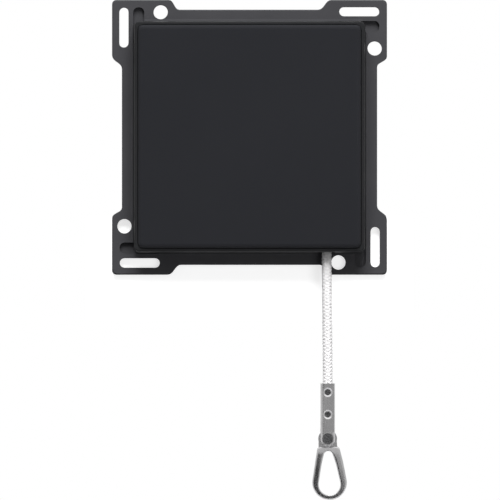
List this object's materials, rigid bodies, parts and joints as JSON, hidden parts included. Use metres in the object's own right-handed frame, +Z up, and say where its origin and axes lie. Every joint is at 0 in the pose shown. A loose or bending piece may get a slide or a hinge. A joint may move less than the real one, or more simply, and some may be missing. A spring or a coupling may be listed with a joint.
{
  "type": "cord pull switch",
  "caption": "Flush wall switch front with corner tabs, a square blank cover plate and a short braided pull cord ending in a clamp and a ring handle.",
  "frame": {"origin": "centre of the flange's back face, in the plane of the wall that it is screwed to", "axes": "+X right, +Y into the wall, +Z up; the cord hangs along -Z"},
  "size_m": [0.0572, 0.03, 0.1039],
  "materials": {
    "flange_moulding": "fine-grained dark anthracite moulding",
    "cover_moulding": "smooth dark anthracite, satin",
    "insulating_moulding": "light grey insulating plastic",
    "lever_moulding": "off-white engineering plastic",
    "spring_steel": "bright zinc-plated steel",
    "contact_brass": "bare brass",
    "contact_silver": "silver contact facing",
    "braided_cord": "white braided cord",
    "nickel_plate": "nickel-plated, slightly satin",
    "dark_screw": "dark steel screw"
  },
  "bodies": {
    "front": {"mounting_flange": "flange_moulding", "cover_plate": "cover_moulding", "switch_housing": "insulating_moulding", "bearing_plate": "insulating_moulding", "return_spring": "spring_steel", "fixed_contact": "contact_brass", "fixed_contact_tip": "contact_silver", "blade_rivet": "contact_brass", "fixed_contact_rivet": "contact_brass", "terminal_block_left": "contact_brass", "terminal_screw_left": "spring_steel", "terminal_block_right": "contact_brass", "terminal_screw_right": "spring_steel", "insert_screw_upper_left": "spring_steel", "insert_screw_upper_right": "spring_steel", "insert_screw_lower_left": "spring_steel", "insert_screw_lower_right": "spring_steel"},
    "lever": {"pull_lever": "lever_moulding", "switching_cam": "lever_moulding", "cam_screw": "spring_steel"},
    "blade": {"contact_blade": "contact_brass", "moving_contact_tip": "contact_silver"},
    "cord": {"pull_cord": "braided_cord", "cord_knot": "braided_cord", "clamp_sleeve": "nickel_plate", "clamp_screw_upper": "dark_screw", "clamp_screw_lower": "dark_screw", "pivot_screw": "dark_screw"},
    "ring": {"ring_handle": "nickel_plate"}
  },
  "joints": [
    {"name": "cord_pull", "type": "slide", "parent": "front", "child": "cord", "axis": [0, 0, -1], "range_m": [0, 0.0056], "stiffness_N_per_m": 500, "springref_m": -0.003, "deforming": ["return_spring"]},
    {"name": "lever_turn", "type": "hinge", "parent": "front", "child": "lever", "pos_m": [0, 0, 0], "axis": [0, 1, 0], "range_deg": [0, 24]},
    {"name": "blade_flex", "type": "hinge", "parent": "front", "child": "blade", "pos_m": [-0.013, 0.0061, -0.00415], "axis": [0, 1, 0], "range_deg": [0, 5.4]},
    {"name": "ring_swing", "type": "hinge", "parent": "cord", "child": "ring", "pos_m": [0.0162, -0.0042, -0.0626], "axis": [0, 1, 0], "range_deg": [-90, 90]}
  ],
  "couplings": [
    {"joint": "lever_turn", "follows": "cord_pull", "rad_per_m": 62.35},
    {"joint": "blade_flex", "follows": "cord_pull", "rad_per_m": 13.8}
  ]
}
